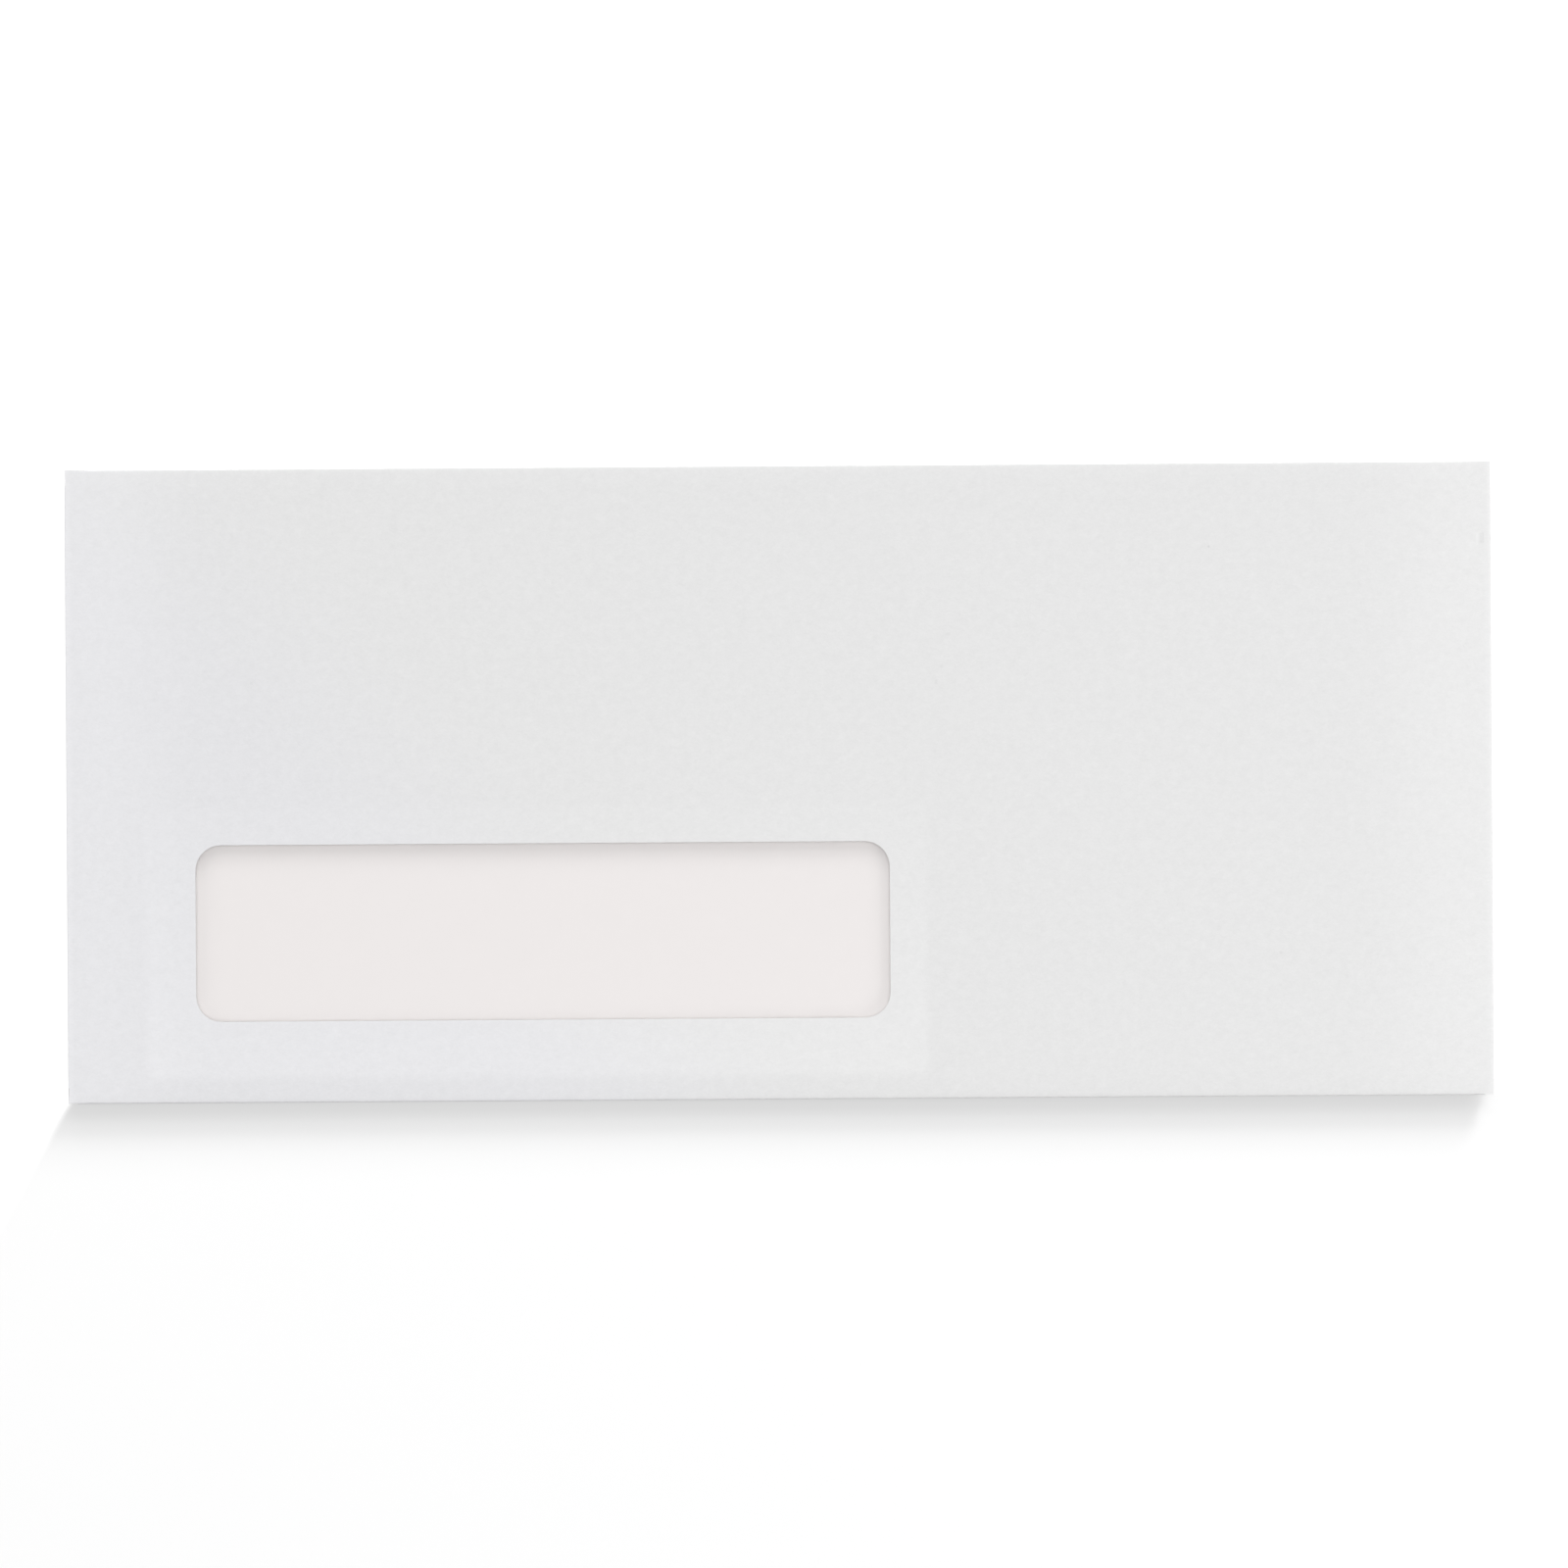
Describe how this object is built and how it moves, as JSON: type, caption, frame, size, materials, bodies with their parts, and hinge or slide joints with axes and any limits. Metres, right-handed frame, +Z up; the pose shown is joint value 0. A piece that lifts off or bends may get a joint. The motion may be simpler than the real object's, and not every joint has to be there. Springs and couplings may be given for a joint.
{
  "type": "window envelope",
  "caption": "Long white window envelope, glued at its side seams, lying face up with its gummed seal flap folded under; a clear film closes the window.",
  "frame": {"origin": "on the surface that the envelope lies on, under the middle of the face", "axes": "+X along the length, to the right as the face is read; +Y from the bottom fold to the top fold, where the seal flap hangs; +Z up, out of the face"},
  "size_m": [0.2286, 0.1016, 0.0013],
  "materials": {
    "white_paper": "smooth uncoated wove paper, matte",
    "clear_film": "clear glossy film",
    "dry_glue": "dry white glue",
    "seal_gum": "glossy dry remoistening gum"
  },
  "bodies": {
    "root": {"envelope_blank": "white_paper", "window_film": "clear_film", "film_glue": "dry_glue", "seam_glue_left": "dry_glue", "seam_glue_right": "dry_glue", "seal_gum": "seal_gum"}
  },
  "joints": []
}
